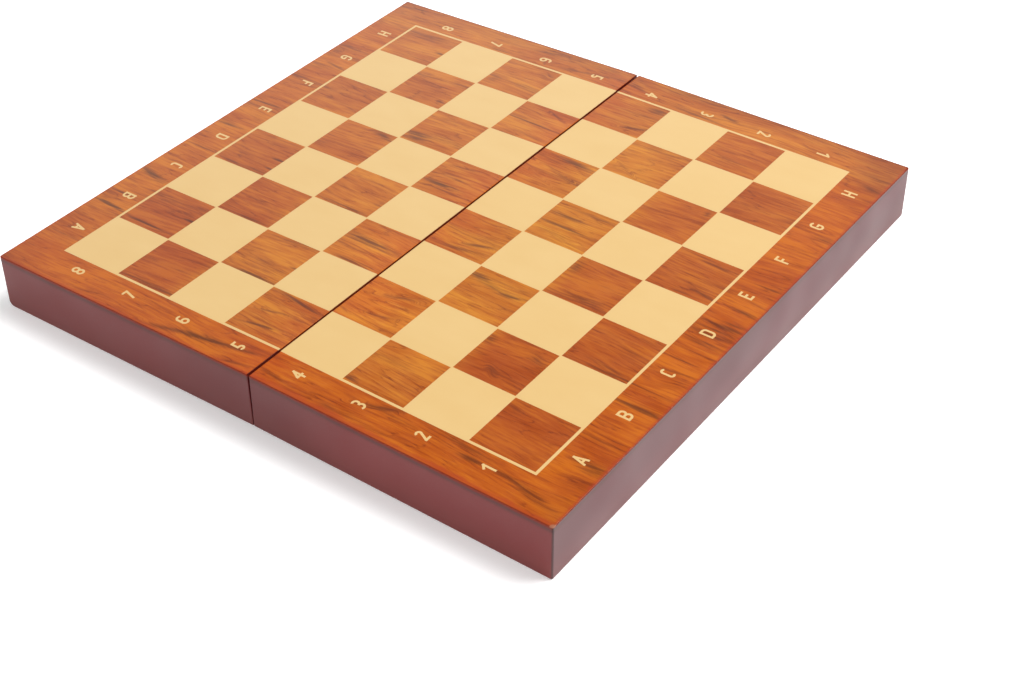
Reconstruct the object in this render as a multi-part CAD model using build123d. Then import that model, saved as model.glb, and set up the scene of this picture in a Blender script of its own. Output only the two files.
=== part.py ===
from build123d import *
import os
from math import acos, atan2, cos, degrees, hypot, pi, sin

# Folding chess board case: two shallow trays joined by two butt hinges.
# The outside faces of the trays carry the playing field, so the open board lies face up
# with its hollows down, and the closed case keeps the men inside.
# Frame: +Z up, +Y along the seam from file A to file H, +X from the seam towards rank 1.
# Origin: middle of the open board's footprint, on the table. All sizes are in millimetres.

# Playing field
square = 31.0
files = 8
ranks_per_half = 4
end_border = 21.5
side_border = 20.0

# Trays
half_height = 26.5
rail_thickness = 8.0
panel_thickness = 4.0
edge_round = 0.8
seam_edge_round = 0.4
first_end_round = 1.0  # bottom edge of the end wall by rank 1
second_end_round = 3.0  # bottom edge of the end wall by rank 8, for a finger to lift
mitre_reach = 1.5  # how far the mitre cuts run past the rails' inner faces

# Printed sheet and its light print
sheet_thickness = 0.5
sheet_edge_round = 0.3
print_depth = 0.2
print_bleed = 0.3  # the light print runs this far over the dark squares' edges
line_width = 1.0

# Lettering
glyph_height = 6.6
glyph_width = 3.9
narrow_glyph_width = 3.2  # of C, E, F, 2, 3, 5 and 7
glyph_stroke = 1.05
a_number_offset = 8.1  # field edge to the middle of the rank numbers by file A
h_number_offset = 7.2  # and by file H
first_letter_offset = 9.3  # field edge to the middle of the file letters by rank 1
second_letter_offset = 8.9  # and by rank 8

# Room between the halves
seam_gap = 0.4
rim_gap = 0.3

# Butt hinges
hinge_inset = 49.0  # board side to the middle of a hinge
hinge_length = 30.0
knuckle_count = 5
leaf_thickness = 1.2
leaf_width = 6.9
leaf_corner_round = 0.8
pin_radius = 0.75
knuckle_gap = 0.15  # between neighbouring knuckles
barrel_room = 0.3  # round the barrel, in the rails and the leaves
leaf_room = 0.1  # round each leaf in its pocket
running_clearance = 0.05  # pin in bore

# Countersunk hinge screws
screw_spacing = 18.0
screw_length = 9.0
screw_radius = 1.0
screw_head_radius = 1.9
screw_head_depth = 0.9
screw_point = 2.0
screw_clearance = 0.05
driver_slot_width = 0.5
driver_slot_depth = 0.45

# Closing magnets in the outer rims
magnet_inset = 72.0  # board side to the middle of a magnet
magnet_radius = 2.5
magnet_thickness = 2.0
magnet_clearance = 0.05

# Worked-out sizes
field_length = files * square
field_width = ranks_per_half * square
board_length = field_length + 2 * side_border
half_width = field_width + end_border
seam_x = seam_gap / 2
end_x = seam_x + half_width
side_y = board_length / 2
sheet_base = half_height - sheet_thickness
print_base = half_height - print_depth
rail_height = sheet_base - panel_thickness
axis_drop = rim_gap / 2
barrel_radius = leaf_thickness + axis_drop
knuckle_pitch = hinge_length / knuckle_count
screw_x = (barrel_radius + barrel_room + leaf_width) / 2
magnet_x = end_x - rail_thickness / 2


def end_round(side):
    """Radius along the bottom of one half's end wall."""
    return first_end_round if side > 0 else second_end_round


def rest_lean(side):
    """Angle by which one half leans down from the seam when barrels and end rims stand level."""
    rise = axis_drop + end_round(side)
    reach = end_x - end_round(side)
    drop = end_round(side) - barrel_radius
    return acos(drop / hypot(rise, reach)) - atan2(reach, rise)


def at_rest(shape, side):
    """Moves a shape from its half's flat frame, rim at z = 0, to the board open on a table."""
    lean = side * degrees(rest_lean(side))
    return Pos(0, 0, barrel_radius) * Rot(0, lean, 0) * Pos(0, 0, axis_drop) * shape


def mirrored(shape, side):
    """The shape as it is for the first half, mirrored across the seam for the second."""
    return shape if side > 0 else mirror(shape, about=Plane.YZ)


def slab(low, high):
    """A block between two heights with the plan outline of one half, its upright edges rounded."""
    middle = Pos((seam_x + end_x) / 2, 0, (low + high) / 2)
    block = middle * Box(half_width, board_length, high - low)
    upright = block.edges().filter_by(Axis.Z).sort_by(Axis.X)
    block = fillet(upright[2:], edge_round)
    return fillet(block.edges().filter_by(Axis.Z).sort_by(Axis.X)[:2], seam_edge_round)


def top_edges(block):
    """The top edges of a slab, all but the one along the seam."""
    level = block.edges().group_by(Axis.Z)[-1]
    return level.filter_by(lambda edge: edge.center().X > seam_x + seam_edge_round)


def wall_block(side):
    """The block that the walls are cut from, with the rounding under its end and along its sides."""
    profile = Pos((seam_x + end_x) / 2, rail_height / 2) * Rectangle(half_width, rail_height)
    corner = profile.vertices().sort_by(Axis.Y)[:2].sort_by(Axis.X)[-1]
    profile = fillet(corner, end_round(side))
    block = extrude(Plane.XZ * profile, amount=board_length / 2, both=True)
    block = fillet(block.edges().filter_by(side_outline), edge_round)
    return fillet(block.edges().filter_by(Axis.Z).sort_by(Axis.X)[:2], seam_edge_round)


def side_outline(edge):
    """Whether an edge lies on a side face, below the panel and away from the seam."""
    middle = edge.center()
    on_side = abs(middle.Y) > side_y - edge_round / 2
    return on_side and middle.Z < rail_height - edge_round / 2 and middle.X > seam_x + seam_edge_round


def rail_ring(side):
    """The four walls of one half as one ring, before the mitre cuts."""
    hollow = Box(half_width - 2 * rail_thickness, board_length - 2 * rail_thickness, 2 * half_height)
    return wall_block(side) - Pos((seam_x + end_x) / 2, 0, 0) * hollow


def rail(kind, side):
    """One mitred wall, cut from the ring by the lines that run in from the corners."""
    reach = mitre_reach * rail_thickness
    corners = {
        "outer": [(end_x, -side_y), (end_x, side_y)],
        "hinge": [(seam_x, -side_y), (seam_x, side_y)],
        "a_side": [(seam_x, -side_y), (end_x, -side_y)],
        "h_side": [(seam_x, side_y), (end_x, side_y)],
    }[kind]
    middle_x = (seam_x + end_x) / 2
    inner = []
    for x, y in corners:
        inner.append((x - reach if x > middle_x else x + reach, y - reach if y > 0 else y + reach))
    wedge = Polygon(*corners, *reversed(inner), align=None)
    return rail_ring(side) & extrude(wedge, amount=rail_height, both=True)


def along_y(radius, length):
    """A round bar along Y, centred on the hinge axis."""
    return Pos(0, 0, -axis_drop) * Rot(90, 0, 0) * Cylinder(radius, length)


def turned(points):
    """A solid turned about Z from the half profile given as radius and height."""
    outline = Plane.XZ * make_face(Polyline(*points, close=True))
    return revolve(outline, Axis.Z)


def screw_body(clearance):
    """Countersunk head and shank with its point, head face at z = 0, grown by a clearance."""
    head = screw_head_radius + clearance
    shank = screw_radius + clearance
    end = screw_length + clearance
    shoulder = screw_length - screw_point
    return turned([(0, 0), (head, 0), (shank, screw_head_depth), (shank, shoulder), (0, end)])


def hinge_screw():
    """One countersunk wood screw with its cross recess."""
    slot = Box(2 * screw_radius, driver_slot_width, 2 * driver_slot_depth)
    return screw_body(0) - slot - Rot(0, 0, 90) * slot


def hinge_places():
    """The middles of the two hinges along the seam, file A side first."""
    return [hinge_inset - side_y, side_y - hinge_inset]


def screw_places():
    """Where the hinge screws stand in the first half."""
    places = []
    for hinge_y in hinge_places():
        for step in (-screw_spacing / 2, screw_spacing / 2):
            places.append(Pos(screw_x, hinge_y + step, 0))
    return places


def hinge_rail(side):
    """The wall along the seam, with a pocket and pilot holes for each hinge."""
    wall = rail("hinge", side)
    pocket_end = leaf_width + leaf_room
    pocket_length = hinge_length + 2 * leaf_room
    pocket = Pos(pocket_end / 2, 0, 0) * Box(pocket_end, pocket_length, 2 * leaf_thickness)
    groove = along_y(barrel_radius + barrel_room, pocket_length)
    for hinge_y in hinge_places():
        wall -= Pos(0, hinge_y, 0) * pocket
        wall -= Pos(0, hinge_y, 0) * groove
    for place in screw_places():
        wall -= place * screw_body(screw_clearance)
    return wall


def magnet_places():
    """Where the closing magnets stand in the first half's outer rim."""
    return [Pos(magnet_x, magnet_inset - side_y, 0), Pos(magnet_x, side_y - magnet_inset, 0)]


def standing_disc(radius, thickness):
    """A round disc standing on z = 0."""
    return Pos(0, 0, thickness / 2) * Cylinder(radius, thickness)


def outer_rail(side):
    """The wall at the board's end, with its two magnet holes in the rim."""
    wall = rail("outer", side)
    for place in magnet_places():
        wall -= place * standing_disc(magnet_radius + magnet_clearance, magnet_thickness)
    return wall


def panel():
    """The board of one half, glued on the four walls."""
    return slab(rail_height, sheet_base)


def own_knuckles(side):
    """Numbers of the barrel's knuckles that belong to the leaf of one half."""
    return range(0 if side > 0 else 1, knuckle_count, 2)


def hinge_leaf(side):
    """One leaf with its knuckles, for a hinge centred on the seam's middle."""
    plate_start = barrel_radius + barrel_room
    plate_width = leaf_width - plate_start
    plate = Pos(plate_start + plate_width / 2, 0, leaf_thickness / 2)
    plate = plate * Box(plate_width, hinge_length, leaf_thickness)
    free_corners = plate.edges().filter_by(Axis.Z).sort_by(Axis.X)[-2:]
    leaf = fillet(free_corners, leaf_corner_round)
    knuckle_length = knuckle_pitch - knuckle_gap
    for number in own_knuckles(side):
        knuckle_y = (number + 0.5) * knuckle_pitch - hinge_length / 2
        bridge = Pos(plate_start / 2, 0, leaf_thickness / 2)
        bridge = bridge * Box(plate_start, knuckle_length, leaf_thickness)
        leaf += Pos(0, knuckle_y, 0) * (along_y(barrel_radius, knuckle_length) + bridge)
    leaf -= along_y(pin_radius + running_clearance, 2 * hinge_length)
    for step in (-screw_spacing / 2, screw_spacing / 2):
        leaf -= Pos(screw_x, step, 0) * screw_body(screw_clearance)
    return leaf


def hinge_pin():
    """The pin through one barrel."""
    return along_y(pin_radius, hinge_length - knuckle_gap)


def stroke(start, end):
    """A straight stroke of a letter between two points of its centre line."""
    length = hypot(end[0] - start[0], end[1] - start[1])
    angle = degrees(atan2(end[1] - start[1], end[0] - start[0]))
    middle = Pos((start[0] + end[0]) / 2, (start[1] + end[1]) / 2)
    return middle * Rot(0, 0, angle) * Rectangle(length + glyph_stroke, glyph_stroke)


def bow(centre, radius, start, sweep):
    """A round stroke about a centre, from a start angle through a sweep, in degrees."""
    ring = Circle(radius + glyph_stroke / 2) - Circle(radius - glyph_stroke / 2)
    if sweep < 360:
        steps = 8
        reach = 2 * (radius + glyph_stroke)
        fan = [(0, 0)]
        for step in range(steps + 1):
            angle = (start + sweep * step / steps) * pi / 180
            fan.append((reach * cos(angle), reach * sin(angle)))
        ring = ring & Polygon(*fan, align=None)
    return Pos(*centre) * ring


def width_of(sign):
    """Width of one letter or figure."""
    return narrow_glyph_width if sign in "CEF2357" else glyph_width


def glyph_strokes(sign):
    """Strokes of a plain upright sign about its middle: two points, or a bow's four values."""
    a = (width_of(sign) - glyph_stroke) / 2
    b = (glyph_height - glyph_stroke) / 2
    c = b - a
    half = b / 2
    stem = [((-a, -b), (-a, b))]
    bars = [((-a, b), (a, b)), ((-a, 0), (0.6 * a, 0))]
    open_round = [((0, c), a, 30, 150), ((0, -c), a, 180, 150), ((-a, -c), (-a, c))]
    shapes = {
        "A": [((-a, -b), (0, b)), ((a, -b), (0, b)), ((-0.6 * a, -half), (0.6 * a, -half))],
        "B": stem
        + [((a - half, half), half, -90, 180), ((a - half, -half), half, -90, 180)]
        + [((-a, y), (a - half, y)) for y in (-b, 0, b)],
        "C": open_round,
        "D": stem
        + [((-a, b), (0, b)), ((-a, -b), (0, -b)), ((a, -c), (a, c))]
        + [((0, c), a, 0, 90), ((0, -c), a, 270, 90)],
        "E": stem + bars + [((-a, -b), (a, -b))],
        "F": stem + bars,
        "G": open_round
        + [((0, -c), a, 270, 90), ((a, -c), (a, -0.1 * b)), ((0.1 * a, -0.1 * b), (a, -0.1 * b))],
        "H": stem + [((a, -b), (a, b)), ((-a, 0), (a, 0))],
        "1": [((0.3 * a, -b), (0.3 * a, b)), ((0.3 * a, b), (-0.8 * a, 0.5 * b))],
        "2": [((0, c), a, -35, 195), ((0.82 * a, c - 0.57 * a), (-a, -b)), ((-a, -b), (a, -b))],
        "3": [((a - half, half), half, -90, 215), ((a - half, -half), half, -125, 215)],
        "4": [((0.4 * a, b), (-a, -0.35 * b)), ((-a, -0.35 * b), (a, -0.35 * b))]
        + [((0.4 * a, -b), (0.4 * a, b))],
        "5": [((-0.7 * a, b), (0.8 * a, b)), ((-0.7 * a, b), (-0.8 * a, a - c)), ((0, -c), a, -150, 275)],
        "6": [((0, -c), a, 0, 360), ((-a, -c), (-a, c)), ((0, c), a, 45, 135)],
        "7": [((-a, b), (a, b)), ((a, b), (-0.4 * a, -b))],
        "8": [((0, half), half, 0, 360), ((0, -half), half, 0, 360)],
    }
    return shapes[sign]


def glyph(sign):
    """Plan of one letter or figure, cut square at its top and foot."""
    joined = Sketch()
    for item in glyph_strokes(sign):
        joined += stroke(*item) if len(item) == 2 else bow(*item)
    return joined & Rectangle(width_of(sign), glyph_height)


def rank_number(side, step):
    """The rank that lies a number of squares out from the seam."""
    return ranks_per_half - step if side > 0 else ranks_per_half + 1 + step


def rank_x(side, step):
    """Middle of a rank, counted out from the seam."""
    return side * (seam_x + (step + 0.5) * square)


def file_y(number):
    """Middle of a file, counted from 0 at file A."""
    return (number + 0.5) * square - field_length / 2


def light_plan(side):
    """Plan of the light squares of one half and of the line round the field."""
    areas = []
    for step in range(ranks_per_half):
        for number in range(files):
            if (rank_number(side, step) + number) % 2 == 0:
                patch = Rectangle(square + 2 * print_bleed, square + 2 * print_bleed)
                areas.append(Pos(rank_x(side, step), file_y(number)) * patch)
    band = line_width + print_bleed
    line_shift = line_width / 2 - print_bleed / 2
    long_side = Rectangle(field_width + line_width, band)
    middle_x = side * (seam_x + (field_width + line_width) / 2)
    for end in (-1, 1):
        areas.append(Pos(middle_x, end * (field_length / 2 + line_shift)) * long_side)
    end_line = Rectangle(band, field_length + 2 * line_width)
    areas.append(Pos(side * (seam_x + field_width + line_shift), 0) * end_line)
    outline = Pos(side * (seam_x + end_x) / 2, 0) * Rectangle(half_width, board_length)
    return (Sketch() + areas) & outline


def letter_plans(side):
    """Plans of the file letters along the outer end of one half, read from that end."""
    letter_offset = first_letter_offset if side > 0 else second_letter_offset
    x = side * (seam_x + field_width + letter_offset)
    plans = []
    for number in range(files):
        plans.append(Pos(x, file_y(number)) * Rot(0, 0, 90 * side) * glyph("ABCDEFGH"[number]))
    return plans


def number_plans(side):
    """Plans of the rank numbers along both sides of one half."""
    plans = []
    for step in range(ranks_per_half):
        sign = str(rank_number(side, step))
        for end, number_offset in ((-1, a_number_offset), (1, h_number_offset)):
            y = end * (field_length / 2 + number_offset)
            plans.append(Pos(rank_x(side, step), y) * Rot(0, 0, -90 * end) * glyph(sign))
    return plans


def inked(plan):
    """A printed area as a thin layer, flush with the sheet's top."""
    middle = Pos(0, 0, (print_base + half_height) / 2)
    return extrude(middle * plan, amount=print_depth / 2, both=True)


def print_sheet(side, inks):
    """The printed sheet of one half, sunk where the light ink lies."""
    sheet = slab(sheet_base, half_height)
    sheet = fillet(top_edges(sheet), sheet_edge_round)
    sheet = mirrored(sheet, side)
    for ink in inks:
        sheet -= ink
    return sheet


def group(shapes):
    """Separate solids that share one node."""
    return Compound([solid for shape in shapes for solid in shape.solids()])


def half_pieces(side):
    """Every piece of one half in its flat frame, named for what it is."""
    light = inked(light_plan(side))
    letters = [inked(plan) for plan in letter_plans(side)]
    numbers = [inked(plan) for plan in number_plans(side)]
    disc = standing_disc(magnet_radius, magnet_thickness)
    return {
        "panel": mirrored(panel(), side),
        "outer_rail": mirrored(outer_rail(side), side),
        "hinge_rail": mirrored(hinge_rail(side), side),
        "a_side_rail": mirrored(rail("a_side", side), side),
        "h_side_rail": mirrored(rail("h_side", side), side),
        "print_sheet": print_sheet(side, [light] + letters + numbers),
        "light_print": light,
        "file_letters": group(letters),
        "rank_numbers": group(numbers),
        "magnets": mirrored(group(place * disc for place in magnet_places()), side),
        "hinge_screws": mirrored(group(place * hinge_screw() for place in screw_places()), side),
        "a_hinge_leaf": mirrored(Pos(0, hinge_places()[0], 0) * hinge_leaf(side), side),
        "h_hinge_leaf": mirrored(Pos(0, hinge_places()[1], 0) * hinge_leaf(side), side),
    }


def all_nodes():
    """Every node of the board, open on a table."""
    nodes = {}
    for half, side in (("first_half", 1), ("second_half", -1)):
        for piece, shape in half_pieces(side).items():
            nodes[f"{half}_{piece}"] = at_rest(shape, side)
    for name, hinge_y in zip(("a_hinge_pin", "h_hinge_pin"), hinge_places()):
        nodes[name] = at_rest(Pos(0, hinge_y, 0) * hinge_pin(), 1)
    return nodes


os.makedirs("parts", exist_ok=True)
print("lean of the two halves at rest, degrees:", [round(degrees(rest_lean(side)), 4) for side in (1, -1)])
for name, shape in all_nodes().items():
    export_step(shape, f"parts/{name}.step")
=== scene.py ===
"""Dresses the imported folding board: printed field, lacquered trays, brass hinges, and a pale studio.

All patterns are drawn in millimetres in the flat frame of the half they lie on.
"""

import logging
import math
from collections.abc import Callable, Sequence
from dataclasses import dataclass
from enum import Enum
from typing import NamedTuple

import bmesh
import bpy
from bpy.types import Material, Node, NodeSocket, NodeTree, Object
from mathutils import Matrix, Vector

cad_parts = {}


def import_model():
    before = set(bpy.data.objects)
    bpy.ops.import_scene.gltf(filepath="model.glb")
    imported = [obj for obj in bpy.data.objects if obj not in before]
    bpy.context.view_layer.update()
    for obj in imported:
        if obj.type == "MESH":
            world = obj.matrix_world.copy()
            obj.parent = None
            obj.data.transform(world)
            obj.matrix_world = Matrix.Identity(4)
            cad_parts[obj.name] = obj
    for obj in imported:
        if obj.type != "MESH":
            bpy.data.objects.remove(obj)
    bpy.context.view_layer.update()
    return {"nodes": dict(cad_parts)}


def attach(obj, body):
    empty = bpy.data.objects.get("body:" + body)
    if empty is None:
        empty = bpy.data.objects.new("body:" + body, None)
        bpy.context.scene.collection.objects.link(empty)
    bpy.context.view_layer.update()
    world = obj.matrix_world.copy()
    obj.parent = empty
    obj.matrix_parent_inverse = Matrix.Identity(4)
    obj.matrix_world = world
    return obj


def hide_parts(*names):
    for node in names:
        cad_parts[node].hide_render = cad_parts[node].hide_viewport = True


LOG = logging.getLogger("board")
MM = 0.001
EASED = {"interpolation_type": "SMOOTHSTEP"}
BLEND = {"data_type": "RGBA"}
TINT = {"data_type": "RGBA", "blend_type": "MULTIPLY"}
Colour = tuple[float, float, float, float]
Point = tuple[float, float, float]
Inputs = dict[int | str, object]


class Half(Enum):
    """The two trays of the board."""

    FIRST = "first_half"
    SECOND = "second_half"

    @property
    def side(self) -> int:
        """1 where the half lies on +X, -1 where it lies on -X."""
        return 1 if self is Half.FIRST else -1

    @property
    def lean(self) -> float:
        """Turn about +Y that lays the half down from its flat frame, in radians."""
        return math.radians(SIZES.first_lean if self is Half.FIRST else -SIZES.second_lean)

    @property
    def laid(self) -> Matrix:
        """Places what is modelled in millimetres in the first half's flat frame, in metres on the table."""
        turn = Matrix.Rotation(0 if self is Half.FIRST else math.pi, 4, "Z")
        lift = Matrix.Translation((0, 0, SIZES.barrel_radius))
        drop = Matrix.Translation((0, 0, SIZES.axis_drop))
        return Matrix.Scale(MM, 4) @ lift @ Matrix.Rotation(self.lean, 4, "Y") @ drop @ turn


@dataclass(frozen=True)
class BoardSizes:
    """The solid model's sizes that the patterns and metal pieces need, in millimetres and degrees."""

    end_x: float = 145.7
    side_y: float = 144.0
    field_x: float = 124.2
    field_y: float = 124.0
    top: float = 26.5
    rail: float = 8.0
    barrel_radius: float = 1.35
    axis_drop: float = 0.15
    hinge_y: float = 95.0
    magnet_x: float = 141.7
    magnet_y: float = 72.0
    first_lean: float = 0.5939
    second_lean: float = 0.6022


SIZES = BoardSizes()


def linear(code: str) -> Colour:
    """Turns a colour from sRGB hex to linear light.

    Args:
        code: Six hex digits.

    Returns:
        Red, green, blue and alpha, each from 0 to 1.
    """
    parts = [int(code[i : i + 2], 16) / 255 for i in (0, 2, 4)]
    lit = [c / 12.92 if c <= 0.04045 else ((c + 0.055) / 1.055) ** 2.4 for c in parts]
    return (lit[0], lit[1], lit[2], 1.0)


def plug(sockets: bpy.types.bpy_prop_collection, key: int | str) -> NodeSocket:
    """The socket with that number, or the first usable one with that name."""
    if isinstance(key, int):
        return sockets[key]
    return next(s for s in sockets if s.enabled and s.name == key)


def feed(node: Node, inputs: Inputs) -> None:
    """Fills a node's inputs.

    Args:
        node: The node.
        inputs: For each input, a value, an sRGB hex colour, a socket, or a node (its first usable output).
    """
    for key, value in inputs.items():
        target = plug(node.inputs, key)
        if isinstance(value, str):
            value = linear(value)
        if isinstance(value, Node):
            value = next(s for s in value.outputs if s.enabled)
        if isinstance(value, NodeSocket):
            node.id_data.links.new(value, target)
        else:
            target.default_value = value


def add(
    tree: NodeTree,
    kind: str,
    inputs: Inputs | None = None,
    stops: list[tuple[float, str]] | None = None,
    **settings: object,
) -> Node:
    """Adds a shader node with its settings and links.

    Args:
        tree: The node tree.
        kind: The node's type, without its ShaderNode prefix.
        inputs: What its inputs take, as feed says.
        stops: Position and sRGB hex colour of each stop, where the node has a colour band.
        settings: The node's own properties.

    Returns:
        The new node.
    """
    node = tree.nodes.new("ShaderNode" + kind)
    for name, value in settings.items():
        setattr(node, name, value)
    feed(node, inputs or {})
    if stops:
        band = node.color_ramp
        for number, (position, code) in enumerate(stops):
            stop = band.elements[number] if number < 2 else band.elements.new(position)
            stop.position = position
            stop.color = linear(code)
    return node


def flat_place(tree: NodeTree, half: Half) -> Node:
    """Object coordinates turned to the flat frame of a half, in millimetres.

    Args:
        tree: The node tree.
        half: The half that carries the surface.

    Returns:
        A Mapping node.
    """
    turn = -half.lean
    radius = SIZES.barrel_radius
    shift = (-radius * math.sin(turn), 0.0, -radius * math.cos(turn) - SIZES.axis_drop)
    coordinates = add(tree, "TexCoord").outputs["Object"]
    laid = {"Vector": coordinates, "Location": shift, "Rotation": (0, turn, 0), "Scale": (1 / MM,) * 3}
    return add(tree, "Mapping", laid)


def grained(
    tree: NodeTree, place: Node, sizes: Sequence[float], detail: float, roughness: float = 0.5
) -> Node:
    """Noise with grains of a given size.

    Args:
        tree: The node tree.
        place: Gives the place, in millimetres.
        sizes: Length of a grain along X, Y and Z, in millimetres.
        detail: How many times the noise is repeated at half the size.
        roughness: How strong the smaller grains are.

    Returns:
        The noise node.
    """
    scaled = add(tree, "Mapping", {"Vector": place, "Scale": [1 / size for size in sizes]})
    noise = {"Vector": scaled, "Scale": 1.0, "Detail": detail, "Roughness": roughness}
    return add(tree, "TexNoise", noise)


def spot(
    tree: NodeTree,
    plan: Node,
    middle: tuple[float, float],
    reach: tuple[float, float],
    tilt: float = 0.0,
    kind: str = "SPHERICAL",
) -> NodeSocket:
    """An oval that fades from 1 in its middle to 0 at its rim, or a run from 0 to 1 along it.

    Args:
        tree: The node tree.
        plan: Gives the place in the plane, in millimetres.
        middle: Middle of the oval, or start of the run.
        reach: Half the oval's length and width, or the run's length and 1.
        tilt: Turn about Z, in radians.
        kind: SPHERICAL for the oval, LINEAR for the run.

    Returns:
        The socket with the level.
    """
    local = {"Vector": plan, "Location": (*middle, 0), "Rotation": (0, 0, tilt), "Scale": (*reach, 1)}
    local = add(tree, "Mapping", local, vector_type="TEXTURE")
    return add(tree, "TexGradient", {"Vector": local}, gradient_type=kind).outputs[1]


def margin(tree: NodeTree, place: Node, reach: tuple[float, float]) -> Node:
    """How far a point lies inside a rectangle centred on the board, seen from above.

    Args:
        tree: The node tree.
        place: Gives the place in the flat frame, in millimetres.
        reach: Half the rectangle's size along X and Y.

    Returns:
        A node whose output is the distance from the nearest side, in millimetres.
    """
    folded = add(tree, "VectorMath", {0: place}, operation="ABSOLUTE")
    left = add(tree, "VectorMath", {0: (*reach, 0), 1: folded}, operation="SUBTRACT")
    parts = add(tree, "SeparateXYZ", {0: left})
    return add(tree, "Math", {0: parts.outputs[0], 1: parts.outputs[1]}, operation="MINIMUM")


def new_material(name: str) -> tuple[Material, NodeTree, Node]:
    """Starts a material.

    Args:
        name: The finish it shows.

    Returns:
        The material, its node tree and its Principled shader.
    """
    made = bpy.data.materials.new(name)
    made.use_nodes = True
    return made, made.node_tree, made.node_tree.nodes["Principled BSDF"]


class Streak(NamedTuple):
    """A smoky patch along the wood's grain, in millimetres and degrees."""

    x: float
    y: float
    length: float
    width: float
    tilt: float
    dark: float


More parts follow.
